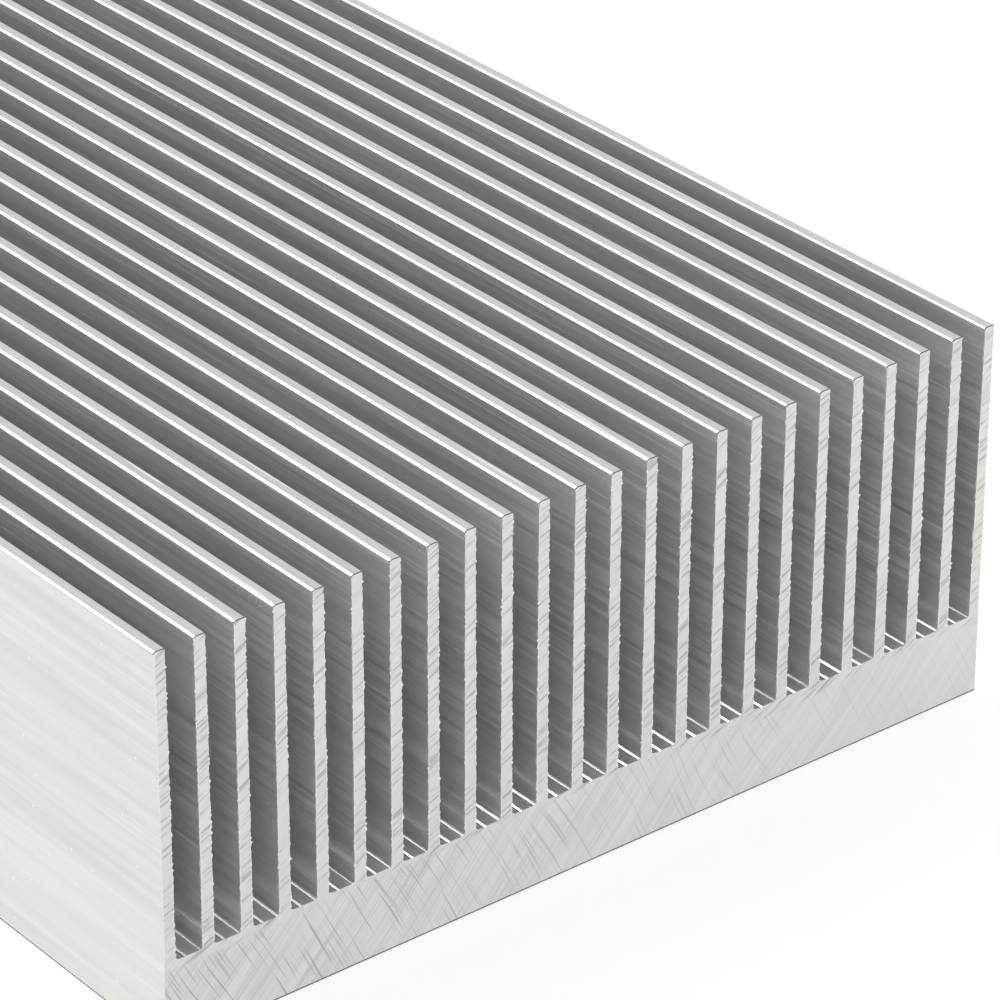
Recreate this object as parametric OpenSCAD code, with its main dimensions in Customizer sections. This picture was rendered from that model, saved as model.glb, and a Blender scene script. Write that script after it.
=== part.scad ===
// Extruded heat sink: a base plate and a row of straight fins in one piece of aluminium.
// The section is drawn once, seen along the extrusion, and run to the sawn length.
// +X runs across the fins, +Y along the extrusion and +Z up the fins.
// The origin is the centre of the seating face.

/* [Bar] */
// Width over the outer faces of the two end fins
bar_w = 60; // [50:1:120]
// Height from the seating face to the fin tips
bar_h = 24.8; // [15:0.1:40]
// Sawn length along the extrusion
bar_l = 150; // [30:5:300]

/* [Base plate] */
// Thickness of the plate under the channel floors
base_t = 5.4; // [3:0.1:8]

/* [Fins] */
// Number of fins
fin_count = 24; // [6:1:24]
// Thickness of a fin at its tip
fin_tip_t = 0.76; // [0.6:0.02:0.8]
// Thickness of a fin at its root
fin_root_t = 0.84; // [0.8:0.02:1]
// Radius on each long edge of a fin tip
tip_r = 0.2; // [0.05:0.01:0.25]

/* [Channels] */
// Radius of the fillet between a fin and the channel floor
root_r = 0.3; // [0.1:0.02:0.4]
// Width of the shallow die mark that runs along each channel floor
mark_w = 0.24; // [0.1:0.01:0.3]
// Depth of the die mark
mark_d = 0.05; // [0.02:0.01:0.06]
// Place of the die mark across the floor, as a share of the gap between two fins
mark_share = 0.37; // [0.3:0.01:0.7]

/* [Hidden] */

// Facet count above which a circle is carried as a true arc
arc_fn = 48;
// Overshoot that lets a cut run cleanly past a face
past = 0.5;

// Spacing of the fins, and the depth of a channel
pitch = (bar_w - fin_tip_t) / (fin_count - 1);
channel_h = bar_h - base_t;
// Width of a channel at its floor and at its mouth
floor_w = pitch - fin_root_t;
mouth_w = pitch - fin_tip_t;
// Lean of a fin's side from upright, in degrees
lean = atan((mouth_w - floor_w) / 2 / channel_h);
// Radius of the round cutter that leaves the die mark
mark_r = mark_w * mark_w / (8 * mark_d) + mark_d / 2;

// Distance of a channel's side from its middle, at a height above the seating face
function side_x(z) = floor_w / 2 + (z - base_t) * tan(lean);

// Centre of the circle that is tangent to the floor and to a channel's side
function root_centre() =
    let (z = base_t + root_r)
    [side_x(z) - root_r / cos(lean), z];

// Centre of the circle that is tangent to the tip plane and to a channel's side
function tip_centre() =
    let (z = bar_h - tip_r)
    [side_x(z) + tip_r / cos(lean), z];

// Point where a circle about centre c touches the side; way is 1 for a root and -1 for a tip
function touch(c, r, way) = c + way * r * [cos(lean), -sin(lean)];

// A 2-D shape drawn at the right of x = 0, and its mirror image at the left
module both_sides() {
    children();
    mirror([1, 0]) children();
}

// Corner of a channel's floor that the root fillet keeps as metal, reaching past the channel
module root_fillet() {
    c = root_centre();
    t = touch(c, root_r, 1);
    difference() {
        polygon([
            c, [c[0], base_t - past], [floor_w / 2 + past, base_t - past],
            [floor_w / 2 + past, t[1]], t
        ]);
        translate(c) circle(r = root_r, $fn = arc_fn);
    }
}

// Right half of a channel's mouth, flared by the rounding of the fin tip beside it
module flared_mouth() {
    c = tip_centre();
    t = touch(c, tip_r, -1);
    difference() {
        polygon([[0, t[1]], t, c, [c[0], bar_h + past], [0, bar_h + past]]);
        translate(c) circle(r = tip_r, $fn = arc_fn);
    }
}

// Open space between two fins, centred on x = 0
module channel() {
    difference() {
        polygon([
            [-floor_w / 2, base_t], [floor_w / 2, base_t],
            [side_x(bar_h), bar_h], [-side_x(bar_h), bar_h]
        ]);
        both_sides() root_fillet();
    }
    both_sides() flared_mouth();
    translate([(mark_share - 0.5) * floor_w, base_t + mark_r - mark_d])
        circle(r = mark_r, $fn = arc_fn);
}

// Rounding of the outer long edge at the tip of the right end fin, reaching past the bar
module outer_rounding() {
    c = [bar_w / 2 - tip_r, bar_h - tip_r];
    translate(c)
        difference() {
            square(tip_r + past);
            circle(r = tip_r, $fn = arc_fn);
        }
}

// Section of the whole bar, with x across the fins and y up them
module section() {
    difference() {
        translate([-bar_w / 2, 0]) square([bar_w, bar_h]);
        for (i = [1 : fin_count - 1])
            translate([(i - fin_count / 2) * pitch, 0]) channel();
        both_sides() outer_rounding();
    }
}

module heat_sink() {
    color([0.82, 0.83, 0.82])
        translate([0, bar_l / 2, 0])
            rotate([90, 0, 0])
                linear_extrude(height = bar_l) section();
}

heat_sink();
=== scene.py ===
"""Looks of the extruded heat sink: a fine mesh on the CAD section, its finishes and a small studio.

The bar is modelled again cell by cell, one fin with half a channel on each side, so that its
fillets shade smoothly and its sawn ends can carry burrs. All lengths are in metres, in the frame
of the CAD part: +X across the fins, +Y along the extrusion, +Z up from the seating face.
"""

import logging
import math
from dataclasses import dataclass, field
from enum import Enum
from typing import Callable

import bmesh
import bpy
from mathutils import Euler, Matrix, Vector


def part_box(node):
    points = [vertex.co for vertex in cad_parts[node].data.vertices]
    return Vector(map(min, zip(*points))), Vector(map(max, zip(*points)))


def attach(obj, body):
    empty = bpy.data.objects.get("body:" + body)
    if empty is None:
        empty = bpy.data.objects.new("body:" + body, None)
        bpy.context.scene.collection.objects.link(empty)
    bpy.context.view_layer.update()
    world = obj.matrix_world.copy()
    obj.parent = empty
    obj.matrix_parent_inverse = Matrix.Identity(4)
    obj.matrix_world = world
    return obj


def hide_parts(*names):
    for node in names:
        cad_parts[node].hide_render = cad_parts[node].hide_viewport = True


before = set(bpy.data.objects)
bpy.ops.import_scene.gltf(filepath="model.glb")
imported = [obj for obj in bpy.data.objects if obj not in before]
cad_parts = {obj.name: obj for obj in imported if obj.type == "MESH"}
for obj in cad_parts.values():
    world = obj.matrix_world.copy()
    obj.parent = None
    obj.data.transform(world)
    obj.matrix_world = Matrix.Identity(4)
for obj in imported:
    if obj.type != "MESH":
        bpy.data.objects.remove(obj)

LOG = logging.getLogger("heat_sink")
MM = 0.001
NODE = "heat_sink"

Span = tuple[float, float]
Scale = tuple[float, float, float]


class Axis(Enum):
    """A row axis, as the index of its coordinate."""

    X = 0
    Y = 1
    Z = 2

    @property
    def unit(self) -> Vector:
        """Unit vector along the axis."""
        return Vector([float(i == self.value) for i in range(3)])


class Surface(Enum):
    """The kinds of surface on the bar, in the order of its material slots."""

    SKIN = 0
    SAWN = 1
    # The rim slot is lighter than the sawn slot, a painted highlight along the burred edges of the
    # fins' sawn ends.
    PAINTED_RIM_HIGHLIGHT = 2
    # The dark slot for the foot and the tips' cut edges is painted shade, standing in for contact
    # shadow and shadow lines.
    PAINTED_SHADE = 3
    FLANK = 4


# ---------------------------------------------------------------------------------------------
# Edit-mode modelling
# ---------------------------------------------------------------------------------------------


class EditMesh:
    """An object's mesh in edit mode, shaped with Blender's operators on what a test selects."""

    TOUCH = 1e-7

    def __init__(self, obj: bpy.types.Object) -> None:
        """Keeps the object that is to be edited.

        Args:
            obj: The mesh object.
        """
        self.obj = obj

    def __enter__(self) -> "EditMesh":
        """Makes the object the only selected one and opens edit mode."""
        bpy.ops.object.select_all(action="DESELECT")
        self.obj.select_set(True)
        bpy.context.view_layer.objects.active = self.obj
        bpy.ops.object.mode_set(mode="EDIT")
        return self

    def __exit__(self, *error: object) -> None:
        """Goes back to object mode."""
        bpy.ops.object.mode_set(mode="OBJECT")

    def _pick(self, kind: str, test: Callable) -> int:
        """Selects the elements of one kind that pass a test, and nothing else.

        Args:
            kind: VERT, EDGE or FACE.
            test: Called with each BMesh element.

        Returns:
            How many elements were selected.
        """
        bpy.ops.mesh.select_mode(type=kind)
        bpy.ops.mesh.select_all(action="DESELECT")
        mesh = bmesh.from_edit_mesh(self.obj.data)
        elements = {"VERT": mesh.verts, "EDGE": mesh.edges, "FACE": mesh.faces}[kind]
        chosen = [element for element in elements if test(element)]
        for element in chosen:
            element.select_set(True)
        mesh.select_flush_mode()
        bmesh.update_edit_mesh(self.obj.data)
        return len(chosen)

    def pick_verts(self, test: Callable[[Vector], bool]) -> int:
        """Selects the vertices whose place passes a test.

        Args:
            test: Called with each vertex's place.

        Returns:
            How many vertices were selected.
        """
        return self._pick("VERT", lambda vert: test(vert.co))

    def pick_edges_along(self, axis: Axis, test: Callable[[Vector], bool]) -> int:
        """Selects the edges along one axis whose middle passes a test.

        Args:
            axis: The direction that the edges run in.
            test: Called with the middle of each such edge.

        Returns:
            How many edges were selected.
        """

        def fits(edge: bmesh.types.BMEdge) -> bool:
            """Tells whether one edge runs along the axis and passes the test."""
            first, last = (vert.co for vert in edge.verts)
            run = last - first
            return abs(run[axis.value]) > 0.999 * run.length and test((first + last) / 2)

        return self._pick("EDGE", fits)

    def pick_faces(self, test: Callable[[Vector, Vector], bool]) -> int:
        """Selects the faces whose centre and normal pass a test.

        Args:
            test: Called with each face's centre and normal.

        Returns:
            How many faces were selected.
        """
        return self._pick("FACE", lambda face: test(face.calc_center_median(), face.normal))

    def cut(self, axis: Axis, place: float) -> None:
        """Cuts every face that crosses a plane square to an axis.

        Args:
            axis: The axis.
            place: Where the plane meets it.
        """
        bpy.ops.mesh.select_all(action="SELECT")
        point = axis.unit * place
        bpy.ops.mesh.bisect(plane_co=point, plane_no=axis.unit, threshold=self.TOUCH)

    def extrude(self, way: Vector) -> None:
        """Extrudes the selected faces.

        Args:
            way: How far, and in which direction.
        """
        bpy.ops.mesh.extrude_region_move(TRANSFORM_OT_translate={"value": way})

    def move(self, way: Vector) -> None:
        """Moves what is selected.

        Args:
            way: How far, and in which direction.
        """
        bpy.ops.transform.translate(value=way)

    def round_edges(self, radius: float, segments: int) -> None:
        """Rounds the selected edges to an arc.

        Args:
            radius: Distance from the edge at which the arc begins.
            segments: How many flat strips make the arc.
        """
        bpy.ops.mesh.bevel(
            offset_type="OFFSET", offset=radius, segments=segments, profile=0.5,
            affect="EDGES", clamp_overlap=False,
        )

    def drop_selected(self) -> None:
        """Deletes the selected faces."""
        bpy.ops.mesh.delete(type="FACE")

    def give_slot(self, surface: Surface) -> None:
        """Gives the selected faces the material slot of a surface.

        Args:
            surface: The kind of surface.
        """
        self.obj.active_material_index = surface.value
        bpy.ops.object.material_slot_assign()

    def weld(self, reach: float) -> None:
        """Merges vertices that all but touch.

        Args:
            reach: The widest gap that is closed.
        """
        bpy.ops.mesh.select_all(action="SELECT")
        bpy.ops.mesh.remove_doubles(threshold=reach)


def spread(low: float, high: float, step: float) -> list[float]:
    """Evenly spaced places from low to high, both included.

    Args:
        low: The first place.
        high: The last place.
        step: The widest spacing allowed.

    Returns:
        The places in rising order.
    """
    count = max(1, math.ceil((high - low) / step))
    return [low + (high - low) * i / count for i in range(count + 1)]


# ---------------------------------------------------------------------------------------------
# The bar
# ---------------------------------------------------------------------------------------------


@dataclass(frozen=True)
class Section:
    """Section of the bar across the extrusion, with the small forms that are modelled on it."""

    width: float
    height: float
    length: float
    base: float = 5.4 * MM
    fin_count: int = 24
    tip: float = 0.76 * MM
    root: float = 0.84 * MM
    tip_radius: float = 0.05 * MM
    tip_flank_width: float = 0.15 * MM
    tip_flank_drop: float = 0.065 * MM
    flank_width: float = 0.17 * MM
    flank_rise: float = 0.078 * MM
    mark_width: float = 0.24 * MM
    mark_depth: float = 0.052 * MM
    mark_share: float = 0.33
    line_width: float = 0.09 * MM
    line_depth: float = 0.01 * MM
    line_reach: float = 0.33 * MM

    @classmethod
    def of_node(cls, node: str) -> "Section":
        """Takes the outer sizes from the box of a CAD node.

        Args:
            node: The node's name.

        Returns:
            The section.
        """
        low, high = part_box(node)
        size = high - low
        return cls(width=size.x, height=size.z, length=size.y)

    @property
    def pitch(self) -> float:
        """Spacing of the fins."""
        return (self.width - self.tip) / (self.fin_count - 1)

    @property
    def side(self) -> float:
        """Distance of an outer face from the middle of the bar."""
        return self.width / 2

    @property
    def end(self) -> float:
        """Distance of a cut end from the middle of the bar."""
        return self.length / 2

    def fin_middle(self, index: int) -> float:
        """Place of a fin's middle across the bar.

        Args:
            index: The fin, counted from 0 at the left.

        Returns:
            The place along X.
        """
        return -self.side + self.tip / 2 + index * self.pitch


@dataclass
class FinCell:
    """One fin with the base plate under it, out to the middle of the channel on each side."""

    section: Section
    index: int
    row_step: float = 0.1 * MM
    column_step: float = 0.12 * MM
    lip: float = 0.09 * MM
    strip: float = 0.1 * MM
    foot: float = 0.08 * MM
    corner_radius: float = 0.05 * MM
    corner_segments: int = 4
    tip_segments: int = 6
    name: str = "fin_cell"

    @property
    def is_first(self) -> bool:
        """True for the fin at the left edge of the bar."""
        return self.index == 0

    @property
    def is_last(self) -> bool:
        """True for the fin at the right edge of the bar."""
        return self.index == self.section.fin_count - 1

    @property
    def middle(self) -> float:
        """Place of the fin's middle across the bar."""
        return self.section.fin_middle(self.index)

    @property
    def limits(self) -> Span:
        """Left and right limit of the cell."""
        return self._sides(self.section.pitch / 2)

    @property
    def roots(self) -> Span:
        """Left and right side of the fin at its root."""
        return self._sides(self.section.root / 2)

    @property
    def tips(self) -> Span:
        """Left and right side of the fin at its tip."""
        half = self.section.tip / 2
        return self.middle - half, self.middle + half

    @property
    def inner_roots(self) -> list[tuple[float, int]]:
        """The root sides that face a channel, each with the way into that channel."""
        left, right = self.roots
        sides = [] if self.is_first else [(left, -1)]
        return sides if self.is_last else sides + [(right, 1)]

    def _sides(self, half: float) -> Span:
        """Places at a distance from the fin's middle, kept to the bar's outer faces.

        Args:
            half: The distance.

        Returns:
            The left and the right place.
        """
        left = -self.section.side if self.is_first else self.middle - half
        right = self.section.side if self.is_last else self.middle + half
        return left, right

    def build(self) -> bpy.types.Object:
        """Models the cell from a block.

        Returns:
            The cell, open where the next cells join it.
        """
        obj = self._block()
        with EditMesh(obj) as edit:
            self._raise_fin(edit)
            self._press_die_mark(edit)
            self._press_die_line(edit)
            self._slope_roots(edit)
            self._shape_tip(edit)
            self._cut_grid(edit)
            self._open_sides(edit)
        return obj

    def _block(self) -> bpy.types.Object:
        """Adds the block of base plate that the cell starts from."""
        left, right = self.limits
        part = self.section
        bpy.ops.mesh.primitive_cube_add(size=1, location=((left + right) / 2, 0, part.base / 2))
        obj = bpy.context.object
        obj.name = self.name
        obj.scale = (right - left, part.length, part.base)
        bpy.ops.object.transform_apply(location=True, rotation=True, scale=True)
        return obj

    def _raise_fin(self, edit: EditMesh) -> None:
        """Extrudes the fin from the plate and tapers it."""
        part = self.section
        for place, _ in self.inner_roots:
            edit.cut(Axis.X, place)
        left, right = self.roots
        edit.pick_faces(lambda c, n: n.z > 0.5 and left < c.x < right)
        edit.extrude(Vector((0, 0, part.height - part.base)))
        for root, tip in zip(self.roots, self.tips):
            edit.pick_verts(lambda p: p.z > part.base * 1.5 and abs(p.x - root) < part.tip / 4)
            edit.move(Vector((tip - root, 0, 0)))

    def _press_die_mark(self, edit: EditMesh) -> None:
        """Sinks the shallow die mark into the half channel at the fin's right."""
        part = self.section
        floor = part.pitch - part.root
        if not self.is_last:
            centre = self.limits[1] + (part.mark_share - 0.5) * floor
            self._press_groove(edit, centre, part.mark_width, part.mark_depth)

    def _press_die_line(self, edit: EditMesh) -> None:
        """Sinks the fine second line into the half channel at the fin's left."""
        part = self.section
        if not self.is_first:
            centre = self.roots[0] - part.line_reach
            self._press_groove(edit, centre, part.line_width, part.line_depth)

    def _press_groove(self, edit: EditMesh, centre: float, width: float, depth: float) -> None:
        """Sinks a groove with two flat flanks into the channel floor.

        Args:
            edit: The mesh.
            centre: Place of the groove across the bar.
            width: Width of the groove.
            depth: Depth of the groove.
        """
        base = self.section.base
        for way in (-1, 0, 1):
            edit.cut(Axis.X, centre + way * width / 2)
        edit.pick_edges_along(
            Axis.Y, lambda m: abs(m.x - centre) < width / 4 and abs(m.z - base) < width / 4
        )
        edit.move(Vector((0, 0, -depth)))

    def _slope_roots(self, edit: EditMesh) -> None:
        """Lifts the channel's corners so that a flat flank runs up to each fin side."""
        part = self.section
        near = part.flank_width / 4
        for place, way in self.inner_roots:
            edit.cut(Axis.X, place + way * part.flank_width)
            edit.pick_edges_along(
                Axis.Y, lambda m: abs(m.x - place) < near and abs(m.z - part.base) < near
            )
            edit.move(Vector((0, 0, part.flank_rise)))
            edit.round_edges(self.corner_radius, self.corner_segments)

    def _shape_tip(self, edit: EditMesh) -> None:
        """Slopes the left side of the fin's tip and rounds both its long edges."""
        part = self.section
        near = part.tip / 8
        left, right = self.tips
        edit.pick_edges_along(
            Axis.Y, lambda m: abs(m.z - part.height) < near and abs(m.x - right) < near
        )
        edit.round_edges(part.tip_radius, self.tip_segments)
        edit.cut(Axis.X, left + part.tip_flank_width)
        edit.pick_edges_along(
            Axis.Y, lambda m: abs(m.z - part.height) < near and abs(m.x - left) < near
        )
        edit.move(Vector((0, 0, -part.tip_flank_drop)))
        edit.round_edges(self.corner_radius, self.corner_segments)

    def _cut_grid(self, edit: EditMesh) -> None:
        """Cuts the rows and columns that give the sawn edges their small burrs."""
        part = self.section
        for side in (-1, 1):
            edit.cut(Axis.Y, side * (part.end - self.strip))
        # The row at the foot bounds the strip of painted shade along the bar's foot.
        edit.cut(Axis.Z, self.foot)
        low = part.base + part.flank_rise + self.corner_radius
        high = part.height - part.tip_flank_drop - self.corner_radius
        for place in spread(low, high, self.row_step)[1:-1]:
            edit.cut(Axis.Z, place)
        left, right = self.roots
        for place in (left + self.lip, self.middle, right - self.lip):
            edit.cut(Axis.X, place)
        for place, way in self.inner_roots:
            start = place + way * part.flank_width
            stop = self.limits[0] if way < 0 else self.limits[1]
            for column in spread(min(start, stop), max(start, stop), self.column_step)[1:-1]:
                edit.cut(Axis.X, column)

    def _open_sides(self, edit: EditMesh) -> None:
        """Removes the walls between this cell and its neighbours."""
        part = self.section
        walls = [x for x in self.limits if abs(x) < part.side - part.tip]
        edit.pick_faces(
            lambda c, n: abs(n.x) > 0.9 and any(abs(c.x - x) < EditMesh.TOUCH * 10 for x in walls)
        )
        edit.drop_selected()


def is_sawn(normal: Vector) -> bool:
    """Tells whether a face looks along the bar, as the sawn ends do.

    Args:
        normal: The face's normal.

    Returns:
        True for a sawn face.
    """
    return abs(normal.y) > 0.9


class EdgeSide(Enum):
    """The side of a fin that an edge of its sawn end lies on, as the way out in X."""

    LEFT = -1
    RIGHT = 1


@dataclass
class Burrs:
    """The ragged edge that the saw leaves round the cut ends."""

    section: Section
    wave_height: float = 0.07 * MM
    wave_size: float = 0.13 * MM
    wave_span: Span = (0.25, 0.75)
    wave_still: float = 0.5
    tooth_height: float = 0.1 * MM
    tooth_size: float = 0.12 * MM
    tooth_span: Span = (0.62, 0.85)
    tooth_still: float = 0.15
    lean: float = 0.05 * MM
    lean_still: float = 0.3

    def raise_on(self, obj: bpy.types.Object) -> None:
        """Displaces the edges of the sawn ends into small irregular burrs.

        Args:
            obj: The whole bar.
        """
        wave = self._texture("burr_wave", self.wave_size, self.wave_span)
        tooth = self._texture("burr_tooth", self.tooth_size, self.tooth_span)
        for side in EdgeSide:
            group = self._mark_edges(obj, side)
            rise, reach = side.value * self.wave_height, side.value * self.tooth_height
            self._displace(obj, group, wave, rise, "X", self.wave_still)
            self._displace(obj, group, tooth, reach, "X", self.tooth_still)
            self._displace(obj, group, tooth, self.lean, "NORMAL", self.lean_still)

    def _mark_edges(self, obj: bpy.types.Object, side: EdgeSide) -> str:
        """Puts the edge vertices on one side of the fins and channels into a group.

        Args:
            obj: The whole bar.
            side: The side to mark.

        Returns:
            The group's name.
        """
        part = self.section
        corners = [vertex.co for vertex in obj.data.vertices]
        ends: set[int] = set()
        skin: set[int] = set()
        for polygon in obj.data.polygons:
            if is_sawn(polygon.normal):
                ends.update(polygon.vertices)
            elif polygon.normal.x * side.value > 0.5:
                skin.update(polygon.vertices)
        group = obj.vertex_groups.new(name=f"sawn_edge_{side.name.lower()}")
        edge = [i for i in ends & skin if corners[i].z > part.tip / 2]
        group.add(edge, 1.0, "REPLACE")
        return group.name

    def _texture(self, name: str, size: float, span: Span) -> bpy.types.Texture:
        """Makes a cloud texture that is stretched between two of its own levels.

        Args:
            name: Name of the texture.
            size: Size of its features.
            span: The cloud values that become 0 and 1.

        Returns:
            The texture.
        """
        texture = bpy.data.textures.new(name, "CLOUDS")
        texture.noise_scale = size
        texture.noise_depth = 1
        texture.use_color_ramp = True
        stops = texture.color_ramp.elements
        stops[0].position, stops[1].position = span
        for stop, level in zip(stops, (0.0, 1.0)):
            stop.color = (level, level, level, 1.0)
        return texture

    def _displace(
        self, obj: bpy.types.Object, group: str, texture: bpy.types.Texture,
        height: float, way: str, still: float,
    ) -> None:
        """Moves a group of vertices by a texture, and applies it.

        Args:
            obj: The whole bar.
            group: The vertices that move.
            texture: The height pattern.
            height: Height at the pattern's full value.
            way: X or NORMAL.
            still: The value of the pattern at which nothing moves.
        """
        modifier = obj.modifiers.new(texture.name, "DISPLACE")
        modifier.texture = texture
        modifier.vertex_group = group
        modifier.direction = way
        modifier.strength = height
        modifier.mid_level = still
        bpy.context.view_layer.objects.active = obj
        bpy.ops.object.modifier_apply(modifier=modifier.name)


@dataclass
class HeatSink:
    """The whole extruded bar with its finishes."""

    section: Section
    name: str = "heat_sink_bar"
    smooth_angle: float = math.radians(20)
    weld_reach: float = 0.002 * MM
    flank_lean: Span = (0.3, 0.55)
    finishes: list["Finish"] = field(default_factory=list)

    def build(self) -> bpy.types.Object:
        """Models, dresses and places the bar.

        Returns:
            The finished bar, which stands for the CAD node.
        """
        bar = self._join([self._cell(i) for i in self._model_indices()])
        self._assign(bar)
        Burrs(self.section).raise_on(bar)
        bpy.ops.object.select_all(action="DESELECT")
        bar.select_set(True)
        bpy.ops.object.shade_smooth_by_angle(angle=self.smooth_angle)
        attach(bar, "root")
        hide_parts(NODE)
        LOG.info("%s: %d faces", bar.name, len(bar.data.polygons))
        return bar

    def _model_indices(self) -> tuple[int, int, int]:
        """Indices of the first fin, the middle fin that is repeated, and the last fin."""
        return 0, 1, self.section.fin_count - 1

    def _cell(self, index: int) -> list[bpy.types.Object]:
        """Models the cell of one fin, and copies it where it repeats.

        Args:
            index: 0 and the last fin stand alone; 1 stands for every fin between them.

        Returns:
            The cell and its copies, each with its own mesh.
        """
        cell = FinCell(self.section, index).build()
        cells = [cell]
        if index != 1:
            return cells
        for step in range(1, self.section.fin_count - 2):
            bpy.ops.object.select_all(action="DESELECT")
            cell.select_set(True)
            bpy.context.view_layer.objects.active = cell
            bpy.ops.object.duplicate(linked=False)
            copy = bpy.context.object
            copy.location.x = step * self.section.pitch
            bpy.ops.object.transform_apply(location=True, rotation=True, scale=True)
            cells.append(copy)
        return cells

    def _join(self, groups: list[list[bpy.types.Object]]) -> bpy.types.Object:
        """Joins the cells into one closed mesh.

        Args:
            groups: The cells, in groups.

        Returns:
            The joined bar.
        """
        bpy.ops.object.select_all(action="DESELECT")
        for cell in (cell for group in groups for cell in group):
            cell.select_set(True)
            bpy.context.view_layer.objects.active = cell
        bpy.ops.object.join()
        bar = bpy.context.object
        bar.name = self.name
        bar.data.name = self.name
        with EditMesh(bar) as edit:
            edit.weld(self.weld_reach)
            bpy.ops.mesh.normals_make_consistent(inside=False)
        return bar

    def _assign(self, bar: bpy.types.Object) -> None:
        """Gives each kind of surface its finish.

        Args:
            bar: The whole bar.
        """
        part = self.section
        cell = FinCell(part, 0)
        shoulder = part.height - part.tip_flank_drop - cell.corner_radius
        for finish in self.finishes:
            bar.data.materials.append(finish.build())

        def lies_on_lip(place: Vector) -> bool:
            """Tells whether a place on a sawn end lies beside a fin's long edge.

            Args:
                place: The place.

            Returns:
                True beside an edge.
            """
            if place.z < part.base + part.flank_rise:
                return False
            across = (place.x - part.fin_middle(0)) / part.pitch
            off = abs(across - round(across)) * part.pitch
            return off > part.root / 2 - cell.lip

        def lies_on_flank(normal: Vector) -> bool:
            """Tells whether a face leans like the flanks at the roots and the die mark.

            Args:
                normal: The face's normal.

            Returns:
                True for a flank.
            """
            least, most = self.flank_lean
            return least < abs(normal.x) < most and normal.z > 0.8

        def lies_on_painted_shade(place: Vector, normal: Vector) -> bool:
            """Tells whether a face is in the strip of painted shade at the bar's foot or at a tip's
            cut edge.

            Args:
                place: The face's centre.
                normal: The face's normal.

            Returns:
                True in a strip.
            """
            at_foot = place.z < cell.foot and abs(normal.z) < 0.5
            at_tip = normal.z > 0.3 and place.z > shoulder
            return at_foot or at_tip and abs(place.y) > part.end - cell.strip

        with EditMesh(bar) as edit:
            edit.pick_faces(lambda c, n: is_sawn(n))
            edit.give_slot(Surface.SAWN)
            # Painted highlight: the rim beside each fin's long edge on the sawn ends gets a lighter
            # finish, standing in for the highlight along the burred edge.
            edit.pick_faces(lambda c, n: is_sawn(n) and lies_on_lip(c))
            edit.give_slot(Surface.PAINTED_RIM_HIGHLIGHT)
            edit.pick_faces(lambda c, n: lies_on_flank(n))
            edit.give_slot(Surface.FLANK)
            # Painted shade: dark strips along the bar's foot and along each tip's cut edge stand in
            # for the contact shadow and the shadow line at those edges.
            edit.pick_faces(lies_on_painted_shade)
            edit.give_slot(Surface.PAINTED_SHADE)


# ---------------------------------------------------------------------------------------------
# Finishes
# ---------------------------------------------------------------------------------------------

Socket = bpy.types.NodeSocket
Feed = Socket | float | tuple
Colour = tuple[float, float, float, float]


def grey(level: float, warmth: float = 0.0) -> Colour:
    """A near-neutral colour.

    Args:
        level: Its lightness, as a linear value.
        warmth: How much the blue falls short of the rest.

    Returns:
        The colour.
    """
    return (level, level, level * (1 - warmth), 1.0)


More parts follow.
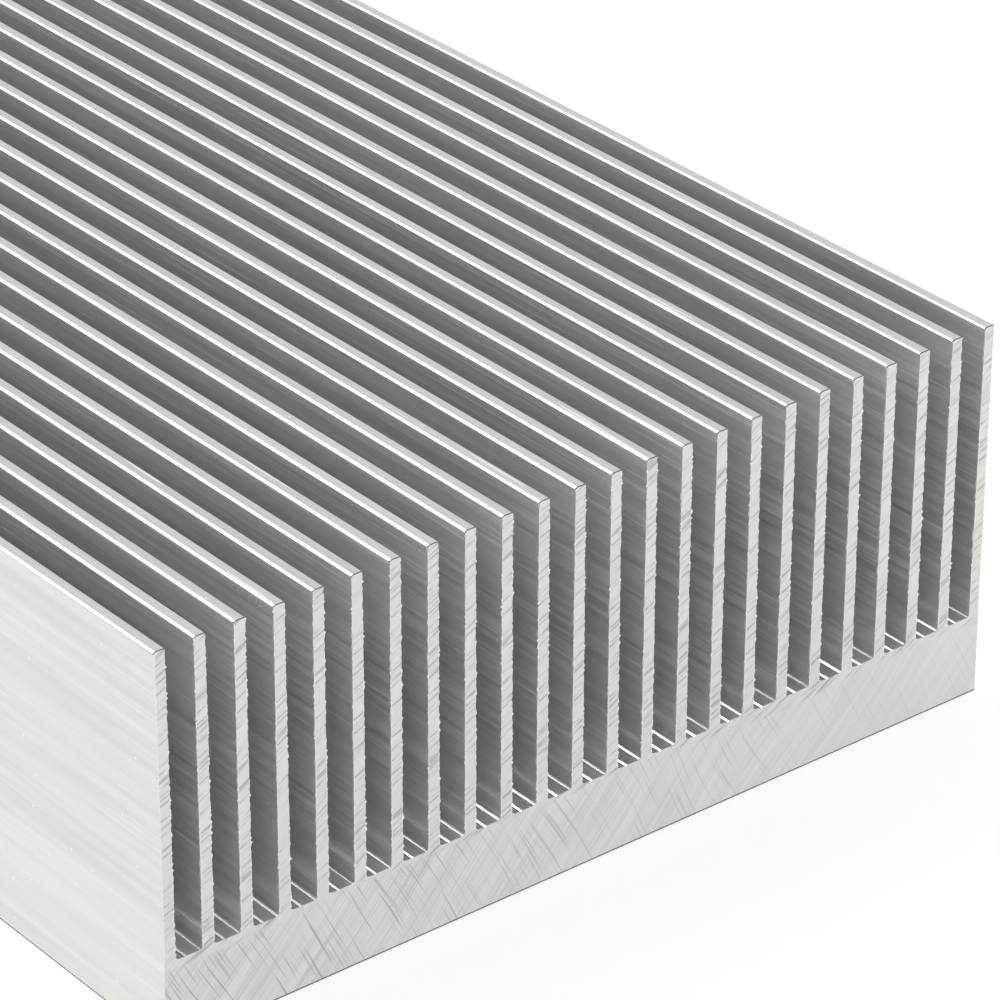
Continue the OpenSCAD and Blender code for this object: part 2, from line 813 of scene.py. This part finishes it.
class NodeSheet:
    """A small builder for the node tree of a material or a world."""

    def __init__(self, owner: bpy.types.Material | bpy.types.World) -> None:
        """Opens an empty node tree.

        Args:
            owner: The material or world.
        """
        owner.use_nodes = True
        self.nodes = owner.node_tree.nodes
        self.links = owner.node_tree.links
        self.nodes.clear()

    def add(self, kind: str, feeds: dict[str | int, Feed], **settings: object) -> bpy.types.Node:
        """Adds a node, feeds its inputs and sets its properties.

        Args:
            kind: The node's type, without the leading ShaderNode.
            feeds: Input names or numbers, with a socket to link or a value to set.
            settings: Properties of the node.

        Returns:
            The new node.
        """
        node = self.nodes.new("ShaderNode" + kind)
        for name, value in settings.items():
            setattr(node, name, value)
        for name, value in feeds.items():
            if isinstance(value, bpy.types.NodeSocket):
                self.links.new(value, node.inputs[name])
            else:
                node.inputs[name].default_value = value
        return node

    def place(self) -> Socket:
        """The object coordinate of the shaded point, in millimetres."""
        point = self.add("TexCoord", {}).outputs["Object"]
        feeds = {0: point, "Scale": 1 / MM}
        return self.add("VectorMath", feeds, operation="SCALE").outputs[0]

    def split(self, vector: Socket) -> tuple[Socket, Socket, Socket]:
        """The three numbers of a vector.

        Args:
            vector: The vector.

        Returns:
            Its X, Y and Z.
        """
        outputs = self.add("SeparateXYZ", {0: vector}).outputs
        return outputs[0], outputs[1], outputs[2]

    def calc(self, operation: str, first: Feed, second: Feed = 0.0) -> Socket:
        """One step of arithmetic.

        Args:
            operation: What is done, by the Math node's name for it.
            first: The first number.
            second: The second number, where the step takes two.

        Returns:
            The result.
        """
        return self.add("Math", {0: first, 1: second}, operation=operation).outputs[0]

    def stretch(self, vector: Socket, scale: Scale) -> Socket:
        """A vector scaled along each axis.

        Args:
            vector: The vector.
            scale: The three factors.

        Returns:
            The scaled vector.
        """
        feeds = {0: vector, 1: scale}
        return self.add("VectorMath", feeds, operation="MULTIPLY").outputs[0]

    def turn(self, vector: Socket, degrees: float) -> Socket:
        """A vector turned about the Y axis, so that lines at that angle lie along X.

        Args:
            vector: The vector.
            degrees: The angle.

        Returns:
            The turned vector.
        """
        feeds = {"Vector": vector, "Angle": math.radians(degrees)}
        return self.add("VectorRotate", feeds, rotation_type="Y_AXIS").outputs[0]

    def noise(self, vector: Socket, detail: float = 2.0, roughness: float = 0.5) -> Socket:
        """Noise with features about one unit of the vector wide, around a middle of 0.5.

        Args:
            vector: Where the noise is read.
            detail: How many finer layers it has.
            roughness: How much the finer layers count.

        Returns:
            The noise.
        """
        feeds = {"Vector": vector, "Scale": 1.0, "Detail": detail, "Roughness": roughness}
        return self.add("TexNoise", feeds).outputs["Fac"]

    def fit(self, value: Socket, low: float, high: float, to: Span = (0.0, 1.0)) -> Socket:
        """A value carried from one range to another, and kept inside it.

        Args:
            value: The value.
            low: The value that becomes the first of the new range.
            high: The value that becomes the last of the new range.
            to: The new range.

        Returns:
            The new value.
        """
        feeds = {"Value": value, "From Min": low, "From Max": high}
        feeds |= {"To Min": to[0], "To Max": to[1]}
        return self.add("MapRange", feeds, clamp=True).outputs[0]

    def blend(self, share: Feed, first: Feed, second: Feed) -> Socket:
        """A colour between two colours.

        Args:
            share: 0 for the first colour, 1 for the second.
            first: The first colour.
            second: The second colour.

        Returns:
            The blended colour.
        """
        feeds = {0: share, 6: first, 7: second}
        return self.add("Mix", feeds, data_type="RGBA").outputs[2]

    def relief(self, height: Socket, depth: float) -> Socket:
        """A normal bent by a height pattern.

        Args:
            height: The pattern, from 0 to 1.
            depth: How deep a full step of the pattern is.

        Returns:
            The bent normal.
        """
        feeds = {"Height": height, "Distance": depth, "Strength": 1.0}
        return self.add("Bump", feeds).outputs[0]

    def seen(self) -> Socket:
        """1 for the rays that look at the studio, straight or in a reflection."""
        path = self.add("LightPath", {}).outputs
        glossy = self.calc("MAXIMUM", path["Is Camera Ray"], path["Is Glossy Ray"])
        return self.calc("MAXIMUM", glossy, path["Is Transmission Ray"])

    def close(self, shader: Socket, end: str = "OutputMaterial") -> None:
        """Ends the tree with a surface shader.

        Args:
            shader: The shader's output.
            end: Kind of the output node.
        """
        self.add(end, {"Surface": shader})


@dataclass(frozen=True)
class Finish:
    """A plain finish of bare aluminium. Each kind below adds its own marks."""

    name: str
    colour: Colour
    roughness: float
    metallic: float = 1.0
    grain: Scale = (9.0, 9.0, 9.0)

    def build(self) -> bpy.types.Material:
        """Makes the material.

        Returns:
            The material.
        """
        material = bpy.data.materials.new(self.name)
        sheet = NodeSheet(material)
        sheet.close(self.shade(sheet))
        return material

    def shade(self, sheet: NodeSheet) -> Socket:
        """Adds the nodes of the finish.

        Args:
            sheet: The material that is being built.

        Returns:
            The shader's output.
        """
        grain = sheet.noise(sheet.stretch(sheet.place(), self.grain))
        colour = sheet.blend(grain, self.tone(0.85), self.tone(1.1))
        return self.metal(sheet, colour, self.roughness, None)

    def tone(self, share: float) -> Colour:
        """The finish's colour, lighter or darker.

        Args:
            share: 1 keeps the colour, and less darkens it.

        Returns:
            The colour.
        """
        return tuple(min(1.0, share * part) for part in self.colour[:3]) + (1.0,)

    def metal(
        self, sheet: NodeSheet, colour: Feed, roughness: Feed, normal: Socket | None
    ) -> Socket:
        """Adds the metal shader.

        Args:
            sheet: The material that is being built.
            colour: Base colour.
            roughness: Roughness.
            normal: Bent normal, if any.

        Returns:
            The shader's output.
        """
        feeds: dict[str | int, Feed] = {
            "Base Color": colour, "Metallic": self.metallic, "Roughness": roughness,
        }
        if normal is not None:
            feeds["Normal"] = normal
        return sheet.add("BsdfPrincipled", feeds).outputs[0]


@dataclass(frozen=True)
class ExtrudedSkin(Finish):
    """Mill finish: die lines along the bar, chatter on the fin tips, scratches and dust."""

    name: str = "extruded_skin"
    colour: Colour = grey(0.83, 0.035)
    roughness: float = 0.42
    metallic: float = 0.72
    relief_depth: float = 0.005 * MM
    tip_height: float = 24.72
    sawn_place: float = 75.0
    line_scale: Scale = (9.0, 0.07, 9.0)
    band_scale: Scale = (1.1, 0.04, 1.1)
    scratch_scale: Scale = (3.0, 0.09, 17.0)
    scratch_span: Span = (0.775, 0.8)
    scratch_gain: float = 0.045
    dust_scale: float = 0.9
    dust_radius: Span = (0.05, 0.085)
    dust_pick: float = 0.75
    chatter_pitch: float = 0.13
    chatter_drift: float = 5.0
    chatter_share: float = 0.4

    def shade(self, sheet: NodeSheet) -> Socket:
        """Adds the nodes of the finish.

        Args:
            sheet: The material that is being built.

        Returns:
            The shader's output.
        """
        place = sheet.place()
        lines = sheet.noise(sheet.stretch(place, self.line_scale), 2.0, 0.6)
        bands = sheet.noise(sheet.stretch(place, self.band_scale), 1.0)
        scratches = self._scratches(sheet, place)
        chatter = self._chatter(sheet, place, lines)

        colour = sheet.blend(sheet.fit(bands, 0.3, 0.7), self.tone(0.93), self.tone(1.06))
        colour = sheet.blend(sheet.fit(lines, 0.3, 0.7, (0.3, 0.0)), colour, self.tone(0.75))
        worn = sheet.calc("MULTIPLY", chatter, self.chatter_share)
        colour = sheet.blend(worn, colour, self.tone(0.6))
        # Scratches and dust specks are lightened towards white. The specks are real dust. On the
        # scratches the lightening is partly fresh bright metal and partly a painted glint, standing
        # in for light caught by their tilted flanks.
        bright = sheet.calc("MAXIMUM", scratches, self._dust(sheet, place))
        colour = sheet.blend(bright, colour, grey(0.98))
        roughness = sheet.fit(lines, 0.3, 0.7, (self.roughness - 0.06, self.roughness + 0.06))
        height = sheet.calc("ADD", lines, scratches)
        normal = sheet.relief(height, self.relief_depth)
        return self.metal(sheet, colour, roughness, normal)

    def _scratches(self, sheet: NodeSheet, place: Socket) -> Socket:
        """Fine scratches along the bar, closer together at the sawn ends.

        Args:
            sheet: The material that is being built.
            place: The place on the bar.

        Returns:
            The pattern, 1 inside a scratch.
        """
        _, along, _ = sheet.split(place)
        reach = sheet.calc("ABSOLUTE", along)
        start, stop = self.sawn_place - 5.0, self.sawn_place - 0.5
        end = sheet.fit(reach, start, stop, (0.0, self.scratch_gain))
        fine = sheet.noise(sheet.stretch(place, self.scratch_scale), 0.0)
        return sheet.fit(sheet.calc("ADD", fine, end), *self.scratch_span)

    def _dust(self, sheet: NodeSheet, place: Socket) -> Socket:
        """Small bright specks, far apart.

        Args:
            sheet: The material that is being built.
            place: The place on the bar.

        Returns:
            The pattern, 1 inside a speck.
        """
        cells = sheet.add("TexVoronoi", {"Vector": place, "Scale": self.dust_scale})
        pick, _, _ = sheet.split(cells.outputs["Color"])
        near = sheet.fit(cells.outputs["Distance"], *self.dust_radius, (1.0, 0.0))
        return sheet.calc("MULTIPLY", near, sheet.calc("GREATER_THAN", pick, self.dust_pick))

    def _chatter(self, sheet: NodeSheet, place: Socket, drift: Socket) -> Socket:
        """Close marks across the flat of the fin tips.

        Args:
            sheet: The material that is being built.
            place: The place on the bar.
            drift: A pattern that shifts the marks, so that they are uneven.

        Returns:
            The pattern, 1 inside a mark.
        """
        _, along, up = sheet.split(place)
        turns = sheet.calc("MULTIPLY", along, 2 * math.pi / self.chatter_pitch)
        phase = sheet.calc("ADD", turns, sheet.calc("MULTIPLY", drift, self.chatter_drift))
        wave = sheet.fit(sheet.calc("SINE", phase), -1.0, 1.0)
        tip = sheet.calc("GREATER_THAN", up, self.tip_height)
        return sheet.calc("MULTIPLY", wave, tip)


@dataclass(frozen=True)
class MarkSet:
    """Thin dark saw marks that run in one direction.

    Attributes:
        angle: Direction of the marks, in degrees above the X axis.
        scale: How often they change along and across that direction, per millimetre.
        span: Noise values where a mark begins and where it is full.
    """

    angle: float
    scale: Span
    span: Span

    def pattern(self, sheet: NodeSheet, place: Socket) -> Socket:
        """Adds the nodes of the marks.

        Args:
            sheet: The material that is being built.
            place: The place on the face.

        Returns:
            The pattern, 1 inside a mark.
        """
        run, gap = self.scale
        along = sheet.stretch(sheet.turn(place, self.angle), (run, 1.0, gap))
        return sheet.fit(sheet.noise(along, 1.0, 0.6), *self.span)


@dataclass(frozen=True)
class SawnEnd(Finish):
    """A sawn face: crossed marks on the base plate and slanting marks on the fins."""

    name: str = "sawn_end"
    colour: Colour = grey(0.78, 0.03)
    roughness: float = 0.42
    metallic: float = 0.75
    relief_depth: float = 0.012 * MM
    base_height: float = 5.6
    base_blend: float = 0.2
    fin_marks: MarkSet = MarkSet(25.0, (0.3, 5.0), (0.54, 0.68))
    rising_marks: MarkSet = MarkSet(46.0, (0.12, 8.0), (0.5, 0.75))
    falling_marks: MarkSet = MarkSet(-62.0, (0.14, 7.0), (0.58, 0.68))
    rising_share: float = 0.7
    dark_share: float = 0.6
    band_scale: Scale = (0.1, 1.0, 1.4)
    grain_scale: Scale = (10.0, 10.0, 10.0)
    warp_scale: Scale = (0.1, 0.1, 0.1)
    warp_reach: Scale = (1.2, 0.0, 1.2)

    def shade(self, sheet: NodeSheet) -> Socket:
        """Adds the nodes of the finish.

        Args:
            sheet: The material that is being built.

        Returns:
            The shader's output.
        """
        place = self._warped(sheet)
        across, _, up = sheet.split(place)
        start, stop = self.base_height - self.base_blend, self.base_height + self.base_blend
        on_fin = sheet.fit(up, start, stop)

        fin_marks = self.fin_marks.pattern(sheet, place)
        rising = self.rising_marks.pattern(sheet, place)
        falling = self.falling_marks.pattern(sheet, place)
        left = sheet.fit(across, 26.0, -20.0, (0.2, 1.0))
        rising = sheet.calc("MULTIPLY", rising, self.rising_share)
        crossed = sheet.calc("MAXIMUM", rising, falling)
        crossed = sheet.calc("MULTIPLY", crossed, left)
        dark = sheet.add("Mix", {0: on_fin, 2: crossed, 3: fin_marks}).outputs[0]

        turned = sheet.turn(place, self.rising_marks.angle)
        bands = sheet.noise(sheet.stretch(turned, self.band_scale), 2.0, 0.6)
        grain = sheet.noise(sheet.stretch(place, self.grain_scale), 2.0, 0.6)
        colour = sheet.blend(sheet.fit(bands, 0.35, 0.65), self.tone(0.9), self.tone(1.06))
        colour = sheet.blend(sheet.fit(grain, 0.3, 0.7), colour, self.tone(1.0))
        share = sheet.calc("MULTIPLY", dark, self.dark_share)
        colour = sheet.blend(share, colour, self.tone(0.4))
        height = sheet.calc("SUBTRACT", sheet.calc("MULTIPLY", grain, 0.3), dark)
        return self.metal(sheet, colour, self.roughness, sheet.relief(height, self.relief_depth))

    def _warped(self, sheet: NodeSheet) -> Socket:
        """The place on the face, bent a little so that no mark is quite straight.

        Args:
            sheet: The material that is being built.

        Returns:
            The bent place.
        """
        place = sheet.place()
        feeds = {"Vector": sheet.stretch(place, self.warp_scale), "Scale": 1.0, "Detail": 0.0}
        drift = sheet.add("TexNoise", feeds).outputs["Color"]
        scaled = sheet.stretch(drift, self.warp_reach)
        return sheet.add("VectorMath", {0: place, 1: scaled}, operation="ADD").outputs[0]


# ---------------------------------------------------------------------------------------------
# Studio
# ---------------------------------------------------------------------------------------------


@dataclass(frozen=True)
class ViewPoint:
    """The camera: where it aims, from which side, and through which lens."""

    aim: Vector
    azimuth: float = math.radians(-38.98)
    elevation: float = math.radians(28.95)
    roll: float = math.radians(0.19)
    distance: float = 0.2998
    lens: float = 181.15
    sensor: float = 36.0

    def build(self) -> bpy.types.Object:
        """Adds the camera and makes it the scene's own.

        Returns:
            The camera.
        """
        flat = math.cos(self.elevation)
        back = Vector((
            math.sin(self.azimuth) * flat,
            -math.cos(self.azimuth) * flat,
            math.sin(self.elevation),
        ))
        bpy.ops.object.camera_add(location=self.aim + back * self.distance)
        camera = bpy.context.object
        camera.name = "camera"
        turn = back.to_track_quat("Z", "Y").to_matrix()
        roll = Euler((0, 0, self.roll)).to_matrix()
        camera.rotation_euler = (turn @ roll).to_euler()
        camera.data.lens = self.lens
        camera.data.sensor_width = self.sensor
        camera.data.clip_start = 0.01
        camera.data.dof.use_dof = False
        bpy.context.scene.camera = camera
        LOG.info("%s: lens %.2f mm", camera.name, self.lens)
        return camera


@dataclass(frozen=True)
class Lamp:
    """A large soft lamp that points at the middle of the bar."""

    name: str
    place: tuple[float, float, float]
    size: float
    power: float

    def build(self, target: Vector) -> bpy.types.Object:
        """Adds the lamp.

        Args:
            target: The point that it faces.

        Returns:
            The lamp.
        """
        bpy.ops.object.light_add(type="AREA", location=self.place)
        lamp = bpy.context.object
        lamp.name = self.name
        lamp.data.shape = "SQUARE"
        lamp.data.size = self.size
        lamp.data.energy = self.power
        away = Vector(self.place) - target
        lamp.rotation_euler = away.to_track_quat("Z", "Y").to_euler()
        LOG.info("%s: %.1f W", lamp.name, self.power)
        return lamp


@dataclass(frozen=True)
class Studio:
    """A pale floor, an even white surround and one soft lamp."""

    floor_size: float = 3.0
    floor_colour: Colour = grey(0.8)
    floor_lift: float = 0.52
    surround: float = 0.8
    lamp: Lamp = Lamp("top_lamp", (-0.25, 0.95, 1.0), 0.6, 4.5)

    def build(self, target: Vector) -> None:
        """Adds the floor, the surround and the lamp.

        Args:
            target: The point that the lamp faces.
        """
        self._lay_floor()
        self._set_surround()
        self.lamp.build(target)
        bpy.context.scene.view_settings.view_transform = "Standard"

    def _lay_floor(self) -> None:
        """Adds the floor, lifted to white where it is looked at."""
        bpy.ops.mesh.primitive_plane_add(size=self.floor_size, location=(0, 0, 0))
        floor = bpy.context.object
        floor.name = "studio_floor"
        material = bpy.data.materials.new("studio_floor")
        sheet = NodeSheet(material)
        matt = sheet.add("BsdfDiffuse", {"Color": self.floor_colour}).outputs[0]
        lift = sheet.calc("MULTIPLY", sheet.seen(), self.floor_lift)
        glow = sheet.add("Emission", {"Strength": lift}).outputs[0]
        sheet.close(sheet.add("AddShader", {0: matt, 1: glow}).outputs[0])
        floor.data.materials.append(material)
        LOG.info("%s: %.1f m wide", floor.name, self.floor_size)

    def _set_surround(self) -> None:
        """Sets the world: white where it is looked at, a little less as a light."""
        world = bpy.data.worlds.new("studio_surround")
        bpy.context.scene.world = world
        sheet = NodeSheet(world)
        level = sheet.fit(sheet.seen(), 0.0, 1.0, (self.surround, 1.0))
        glow = sheet.add("Background", {"Strength": level}).outputs[0]
        sheet.close(glow, "OutputWorld")


def main() -> None:
    """Builds the bar, its finishes, the studio and the camera."""
    logging.basicConfig(level=logging.INFO, format="%(name)s: %(message)s")
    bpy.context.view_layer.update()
    section = Section.of_node(NODE)
    finishes = [
        ExtrudedSkin(),
        SawnEnd(),
        # Painted highlight: the rim finish is lighter than the sawn face to stand in for the
        # highlight along the burred edges.
        Finish("sawn_rim_painted_highlight", grey(0.86, 0.02), 0.34, 0.8),
        # Painted shade: the dark finish of the strips at the bar's foot and at the tips' cut edges.
        Finish("painted_shade_strip", grey(0.12, 0.08), 0.6, 0.4),
        Finish("drawn_flank", grey(0.9, 0.02), 0.2, 1.0, (9.0, 0.2, 9.0)),
    ]
    HeatSink(section, finishes=finishes).build()
    aim = Vector((8.37 * MM, -56.01 * MM, section.height / 2))
    Studio().build(Vector((0, 0, section.height / 2)))
    ViewPoint(aim).build()


if __name__ == "__main__":
    main()
